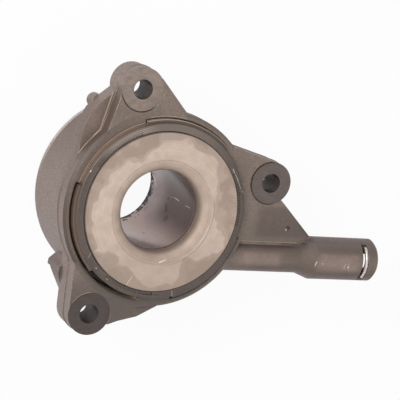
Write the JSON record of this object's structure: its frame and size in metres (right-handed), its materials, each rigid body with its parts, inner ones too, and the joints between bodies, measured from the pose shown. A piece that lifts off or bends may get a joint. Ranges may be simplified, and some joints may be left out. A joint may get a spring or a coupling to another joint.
{
  "type": "concentric slave cylinder",
  "caption": "Annular hydraulic clutch release cylinder with a release bearing, mounting ears and a side pipe port.",
  "frame": {"origin": "on the bore axis, in the plane of the rear faces of the three mounting ears", "axes": "+Z along the release stroke towards the clutch, +X along the pipe port, +Y completes the frame"},
  "size_m": [0.1538, 0.1179, 0.06],
  "materials": {
    "cast_housing": "hard-anodised die casting, satin, light worn edges",
    "tube_steel": "drawn steel tube, shiny with dark spots near its rear edge",
    "bearing_steel": "ground bearing steel with faint stains",
    "hard_steel": "hardened steel",
    "carrier_plastic": "dark glass-filled plastic",
    "piston_plastic": "black plastic",
    "band_plastic": "light slippery plastic",
    "seal_rubber": "black rubber",
    "spring_wire": "spring wire",
    "clip_wire": "bright spring wire"
  },
  "bodies": {
    "cylinder_body": {"housing": "cast_housing", "guide_tube": "tube_steel", "tube_seal_ring": "seal_rubber", "channel_plugs": "hard_steel", "port_clip": "clip_wire", "piston_wiper": "seal_rubber", "spring_seat": "hard_steel", "preload_spring": "spring_wire"},
    "release_group": {"piston": "piston_plastic", "piston_guide_band": "band_plastic", "piston_seal": "seal_rubber", "seal_clasp": "piston_plastic", "bearing_carrier": "carrier_plastic", "bearing_retainer": "spring_wire", "wave_washer": "spring_wire", "bearing_fixed_ring": "hard_steel", "bearing_front_seal": "seal_rubber", "bearing_rear_shield": "hard_steel"},
    "clutch_side_ring": {"thrust_ring": "bearing_steel"},
    "ball_row": {"ball_cage": "band_plastic", "bearing_balls": "hard_steel"}
  },
  "joints": [
    {"name": "release_slide", "type": "slide", "parent": "cylinder_body", "child": "release_group", "axis": [0, 0, 1], "range_m": [0, 0.01], "deforming": ["preload_spring"]},
    {"name": "thrust_ring_spin", "type": "hinge", "parent": "release_group", "child": "clutch_side_ring", "pos_m": [0, 0, 0.0127], "axis": [0, 0, 1], "continuous": true},
    {"name": "ball_row_spin", "type": "hinge", "parent": "release_group", "child": "ball_row", "pos_m": [0, 0, 0.0127], "axis": [0, 0, 1], "continuous": true}
  ],
  "couplings": [
    {"joint": "ball_row_spin", "follows": "thrust_ring_spin", "ratio": 0.4541}
  ]
}
